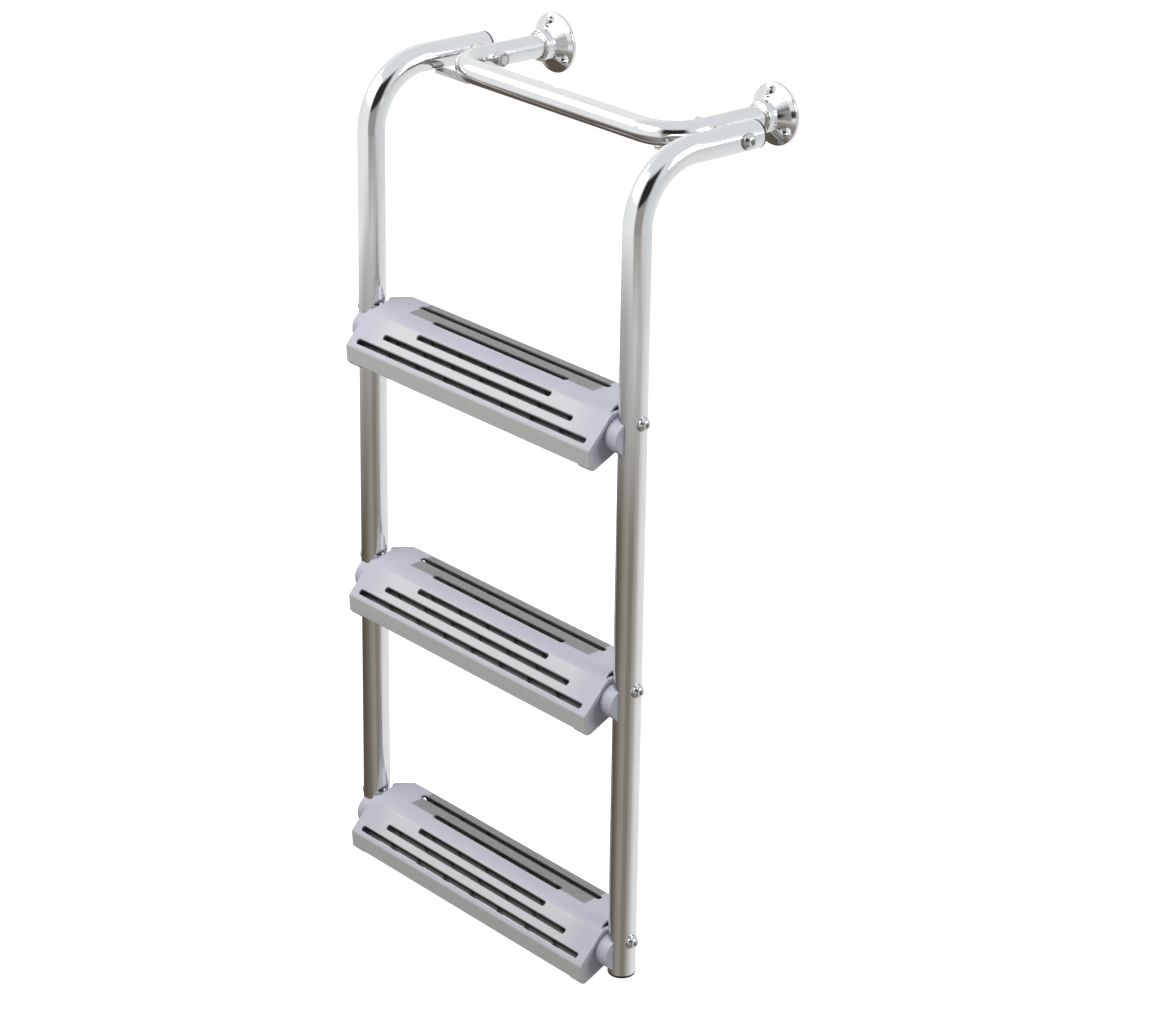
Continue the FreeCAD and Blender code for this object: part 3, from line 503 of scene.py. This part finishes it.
for side, outward in (("left", -1), ("right", 1)):
    bolt = "pivot_bolt_" + side
    corner, far_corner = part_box(bolt)
    pivot = ((corner.y + far_corner.y) / 2, (corner.z + far_corner.z) / 2)
    bright = turned_steel("bright_stainless_bolt_pivot_" + side, "X", (0, *pivot),
                          FASTENER_COLOUR, 0.16, TURNED_LINE)
    nodes[bolt].data.materials[0] = bright
    nodes["pivot_nut_" + side].data.materials[0] = bright
    nodes["pivot_spacer_" + side].data.materials[0] = acetal
    ring = nut_ring("pivot_nut_" + side, -outward, PIVOT_BORE)
    surface("pivot_nut_ring_" + side, [ring], nylon, "bow_mount")
    tube_low, tube_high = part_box("side_tube_" + side)
    centre = ((tube_low.x + tube_high.x) / 2, *pivot)
    washer = saddle_washer(centre, outward, TUBE_RADIUS + PIVOT_CLEAR, PIVOT_BORE,
                           PIVOT_WASHER)
    surface("pivot_washer_" + side, [washer], nylon, "bow_mount")

# Side tubes
# Two stainless tubes, each bent into a gooseneck at the top and polished as the bow bar is.
# They run down past the treads and end in black plugs.
NECK_Z = (-62 * MM, -48 * MM)
side_steel = polished_tube("polished_stainless_side_tube", 2, 1, (2, NECK_Z[0]), NECK_Z[1])
for side in ("left", "right"):
    nodes["side_tube_" + side].data.materials[0] = side_steel

# Plugs
# Black polyethylene plugs pushed into the tubes' open ends, moulded with a fine spark grain.
SPARK_GRAIN = 0.9 * MM    # the real grain is about 0.3 mm: drawn coarser, or it wouldn't show
SCUFF = 7 * MM
black, tree = new_material("moulded_black_polyethylene")
# Soft black plastic: deep grey rather than black, waxy, with a fine grain and a few scuffs.
place = add(tree, "ShaderNodeTexCoord").outputs["Object"]
grain = add(tree, "ShaderNodeTexNoise", Vector=place, Scale=1 / SPARK_GRAIN, Detail=3.0)
scuffs = add(tree, "ShaderNodeTexNoise", Vector=place, Scale=1 / SCUFF, Detail=5.0)
wear_and_shade = add(tree, "ShaderNodeMapRange", i0=scuffs.outputs[0], i1=0.5, i2=0.75)
tint = add(tree, "ShaderNodeMix", {"data_type": "RGBA"}, i0=wear_and_shade.outputs[0],
           i6=linear("232427"), i7=linear("3A3B3E"))
bumps = add(tree, "ShaderNodeBump", Strength=0.4, Distance=0.08 * MM, Height=grain.outputs[0])
shader = add(tree, "ShaderNodeBsdfPrincipled", Base_Color=tint.outputs[2], Roughness=0.46,
             IOR=1.51, Normal=bumps.outputs[0])
add(tree, "ShaderNodeOutputMaterial", Surface=shader.outputs[0])
for end in ("arm_plug_", "foot_plug_"):
    for side in ("left", "right"):
        nodes[end + side].data.materials[0] = black

# Treads
# Three treads moulded from light blue-grey polypropylene, bent along a crown, drained by five
# slots and ribbed below. A saddle at each end bears on the tube, and a bolt holds it there.
TREAD_TILT = math.radians(25.4)
TREAD_PITCH = 250 * MM
# Measured from the bolt in the tread's own frame: along it, back towards the boat in its mean
# plane, and up square to that. Depths are below the bent plate's top.
CROWN = (-3.9 * MM, 12.9 * MM)    # back, up
CROWN_CUT = 2.3 * MM
FACE_FALL = math.tan(math.radians(21.8))
INSIDE = (-44 * MM, 28 * MM)    # back
INSIDE_HALF = 165.5 * MM    # along
SKIN = (0.5 * MM, 2.4 * MM)    # depth
RIB_FEET = (7 * MM, 14 * MM)    # depth
RIB_FEET_SHADE = 0.4    # what is left of the dark there
TREAD_COLOUR = "CFCFDB"
TREAD_SHADE = "C5C5D3"
TREAD_CLOUD = 55 * MM
# Painted shade: the deep grey of the slots and of the hollow below the plate.
INSIDE_PAINTED_SHADE = "2A2C2F"
FRONT_EDGE = -45.2 * MM
FRONT_EDGE_COLOUR = "CCCDCB"
BARS = (-42 * MM, -11 * MM)
BARS_HALF = 140 * MM
BARS_FADE = 12 * MM
BAR_COLOUR = "D9DBDE"
GRIP_FRONT = 5.2 * MM
GRIP_HALF = 128 * MM
GRIP_DEPTH = (3 * MM, 2 * MM)
# Painted shade: the darker grey of the grip band behind the crown.
GRIP_PAINTED_SHADE = "7E807D"
GRIP_PITCH = 2.2 * MM
MOULD_ROUND = 0.6 * MM

plastic, tree = new_material("moulded_polypropylene")
# A satin skin from a spark-eroded mould: a fine even grain and slightly cloudy colour. The slots
# and the hollow below are painted a deep grey as shade, where little light gets in.
place = add(tree, "ShaderNodeTexCoord").outputs["Object"]
bolt_low, bolt_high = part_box("step_bolt_top_left")
bolt_y, bolt_z = (bolt_low.y + bolt_high.y) / 2, (bolt_low.z + bolt_high.z) / 2
step_low, step_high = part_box("step_top")
split = add(tree, "ShaderNodeSeparateXYZ", i0=place)
wrapped = add(tree, "ShaderNodeMath", {"operation": "WRAP"}, i0=split.outputs[2],
              i1=bolt_z + TREAD_PITCH / 2, i2=bolt_z - TREAD_PITCH / 2)
own = add(tree, "ShaderNodeCombineXYZ", i0=split.outputs[0], i1=split.outputs[1],
          i2=wrapped.outputs[0])
moved = add(tree, "ShaderNodeVectorMath", {"operation": "SUBTRACT"}, i0=own.outputs[0],
            i1=((step_low.x + step_high.x) / 2, bolt_y, bolt_z))
level = add(tree, "ShaderNodeMapping", i0=moved.outputs[0], Rotation=(-TREAD_TILT, 0, 0))
tread = add(tree, "ShaderNodeSeparateXYZ", i0=level.outputs[0])
along, fore, rise = tread.outputs

# depth below the bent plate: crown height - sqrt(((y - crown) tan slope)^2 + cut^2) - z, where
# the crown's rounding cuts that much off the point in which the two faces would meet
depth = fore
for operation, number in (("SUBTRACT", CROWN[0]), ("MULTIPLY", FACE_FALL), ("POWER", 2),
                          ("ADD", CROWN_CUT ** 2), ("SQRT", 0), ("ADD", rise)):
    depth = add(tree, "ShaderNodeMath", {"operation": operation}, i0=depth, i1=number).outputs[0]
depth = add(tree, "ShaderNodeMath", {"operation": "SUBTRACT"}, i0=CROWN[1], i1=depth).outputs[0]
aside = add(tree, "ShaderNodeMath", {"operation": "ABSOLUTE"}, i0=along).outputs[0]

# the painted shade inside: behind the front edge, before the skirt, between the end webs, and
# deep below the skin; on the ribs' feet, seen from behind and below, it fades towards the
# plastic's grey
behind = add(tree, "ShaderNodeMath", {"operation": "GREATER_THAN"}, i0=fore, i1=INSIDE[0])
before = add(tree, "ShaderNodeMath", {"operation": "LESS_THAN"}, i0=fore, i1=INSIDE[1])
inward = add(tree, "ShaderNodeMath", {"operation": "LESS_THAN"}, i0=aside, i1=INSIDE_HALF)
deep = add(tree, "ShaderNodeMapRange", {"interpolation_type": "SMOOTHSTEP"},
           i0=depth, i1=SKIN[0], i2=SKIN[1])
feet = add(tree, "ShaderNodeMapRange", {"interpolation_type": "SMOOTHSTEP"},
           i0=depth, i1=RIB_FEET[0], i2=RIB_FEET[1], i3=1.0, i4=RIB_FEET_SHADE)
painted_shade = behind.outputs[0]
for mask in (before, inward, deep, feet):
    painted_shade = add(tree, "ShaderNodeMath", {"operation": "MULTIPLY"}, i0=painted_shade,
                i1=mask.outputs[0]).outputs[0]

cloud = add(tree, "ShaderNodeTexNoise", Vector=place, Scale=1 / TREAD_CLOUD, Detail=4.0)
grain = add(tree, "ShaderNodeTexNoise", Vector=place, Scale=1 / SPARK_GRAIN, Detail=3.0)
skin = add(tree, "ShaderNodeMix", {"data_type": "RGBA"}, i0=cloud.outputs[0],
           i6=linear(TREAD_COLOUR), i7=linear(TREAD_SHADE)).outputs[2]

# the front edge below the nose is a plainer grey, and the bars between the front slots are worn
# paler; the band behind the crown between the slots' ends has a coarse grip grain and is painted a
# darker speckled grey as shade
edge = add(tree, "ShaderNodeMapRange", i0=fore, i1=FRONT_EDGE + MM, i2=FRONT_EDGE)
bar = add(tree, "ShaderNodeMath", {"operation": "COMPARE"}, i0=fore, i1=sum(BARS) / 2,
          i2=(BARS[1] - BARS[0]) / 2)
bar_end = add(tree, "ShaderNodeMapRange", i0=aside, i1=BARS_HALF + BARS_FADE,
              i2=BARS_HALF - BARS_FADE)
bar = add(tree, "ShaderNodeMath", {"operation": "MULTIPLY"}, i0=bar.outputs[0],
          i1=bar_end.outputs[0])
band = add(tree, "ShaderNodeMapRange", i0=fore, i1=GRIP_FRONT - MM, i2=GRIP_FRONT + MM)
band_end = add(tree, "ShaderNodeMapRange", i0=aside, i1=GRIP_HALF + MM, i2=GRIP_HALF - MM)
on_top = add(tree, "ShaderNodeMapRange", i0=depth, i1=GRIP_DEPTH[0], i2=GRIP_DEPTH[1])
grip = add(tree, "ShaderNodeTexVoronoi", {"feature": "F1"}, Vector=place, Scale=1 / GRIP_PITCH)
speckle = add(tree, "ShaderNodeMapRange", i0=grip.outputs["Distance"], i1=0.0, i2=0.7,
              i3=1.0, i4=0.8)
for mask in (band_end, on_top):
    band = add(tree, "ShaderNodeMath", {"operation": "MULTIPLY"}, i0=band.outputs[0],
               i1=mask.outputs[0])
# painted shade on the grip band, speckled by the grip's grain
wear_and_shade = add(tree, "ShaderNodeMath", {"operation": "MULTIPLY"}, i0=band.outputs[0],
           i1=speckle.outputs[0])
for mask, tone in ((edge, FRONT_EDGE_COLOUR), (bar, BAR_COLOUR), (wear_and_shade, GRIP_PAINTED_SHADE)):
    skin = add(tree, "ShaderNodeMix", {"data_type": "RGBA"}, i0=mask.outputs[0], i6=skin,
               i7=linear(tone)).outputs[2]
# painted shade: the slots and the hollow below take the deep grey
colour = add(tree, "ShaderNodeMix", {"data_type": "RGBA"}, i0=painted_shade, i6=skin,
             i7=linear(INSIDE_PAINTED_SHADE))
satin_skin = add(tree, "ShaderNodeMapRange", i0=grain.outputs[0], i1=0.3, i2=0.7, i3=0.36, i4=0.5)
pimples = add(tree, "ShaderNodeMath", {"operation": "MULTIPLY"}, i0=band.outputs[0],
              i1=grip.outputs["Distance"])
coarse = add(tree, "ShaderNodeBump", {"invert": True}, Strength=0.5, Distance=0.25 * MM,
             Height=pimples.outputs[0])
bumps = add(tree, "ShaderNodeBump", Strength=0.35, Distance=0.06 * MM, Height=grain.outputs[0],
            Normal=coarse.outputs[0])
soft = add(tree, "ShaderNodeBevel", {"samples": 4}, Radius=MOULD_ROUND, Normal=bumps.outputs[0])
shader = add(tree, "ShaderNodeBsdfPrincipled", Base_Color=colour.outputs[2],
             Roughness=satin_skin.outputs[0], IOR=1.49, Normal=soft.outputs[0])
add(tree, "ShaderNodeOutputMaterial", Surface=shader.outputs[0])

# Each rear rib goes on past the slot's rounded ends: a moulded stub at both ends of the rib.
STUB_REACH = (118 * MM, 136 * MM)
STUB_SECTION = np.array(((24.2, -10.3), (26.7, -10.1), (26.7, -2.2), (24.2, -1.2))) * MM


def rib_stub(centre, side):
    """A bar along X whose section is STUB_SECTION, turned with the tread: (y, z) goes to
    (y cos t - z sin t, y sin t + z cos t). Each end closes on the section's middle."""
    closed = 0 * STUB_SECTION + STUB_SECTION.mean(axis=0)
    rows = np.stack([closed, STUB_SECTION, STUB_SECTION, closed])
    first, last = STUB_REACH
    x = np.array([first, first, last, last])[:, None] * side + 0 * rows[..., 0]
    y, z = rows[..., 0], rows[..., 1]
    turned = np.stack([x, y * math.cos(TREAD_TILT) - z * math.sin(TREAD_TILT),
                       y * math.sin(TREAD_TILT) + z * math.cos(TREAD_TILT)], axis=-1)
    return (turned if side > 0 else turned[:, ::-1]) + np.array(centre)


for count, step in enumerate(("top", "middle", "bottom")):
    centre = ((step_low.x + step_high.x) / 2, bolt_y, bolt_z - count * TREAD_PITCH)
    stubs = surface("rib_stubs_" + step, [rib_stub(centre, 1), rib_stub(centre, -1)], plastic,
                    "ladder")
    stubs.data.polygons.foreach_set("use_smooth", np.zeros(len(stubs.data.polygons), bool))

# Tread bolts
# A domed stainless bolt with a hexagon socket goes through each tube into the tread's end web,
# with a formed nylon washer under its head and a lock nut inside the tread.
STEP_BORE = 3.05 * MM
STEP_WASHER = 6.6 * MM
for count, step in enumerate(("top", "middle", "bottom")):
    nodes["step_" + step].data.materials[0] = plastic
    axis_z = bolt_z - count * TREAD_PITCH
    bright = turned_steel("bright_stainless_bolt_" + step, "X", (0, bolt_y, axis_z),
                          FASTENER_COLOUR, 0.18, TURNED_LINE)
    for side, outward in (("left", -1), ("right", 1)):
        end = step + "_" + side
        nodes["step_bolt_" + end].data.materials[0] = bright
        nodes["step_nut_" + end].data.materials[0] = bright
        ring = nut_ring("step_nut_" + end, -outward, STEP_BORE)
        surface("step_nut_ring_" + end, [ring], nylon, "ladder")
        tube_low, tube_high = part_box("side_tube_" + side)
        centre = ((tube_low.x + tube_high.x) / 2, bolt_y, axis_z)
        washer = saddle_washer(centre, outward, TUBE_RADIUS, STEP_BORE, STEP_WASHER)
        surface("step_washer_" + end, [washer], nylon, "ladder")
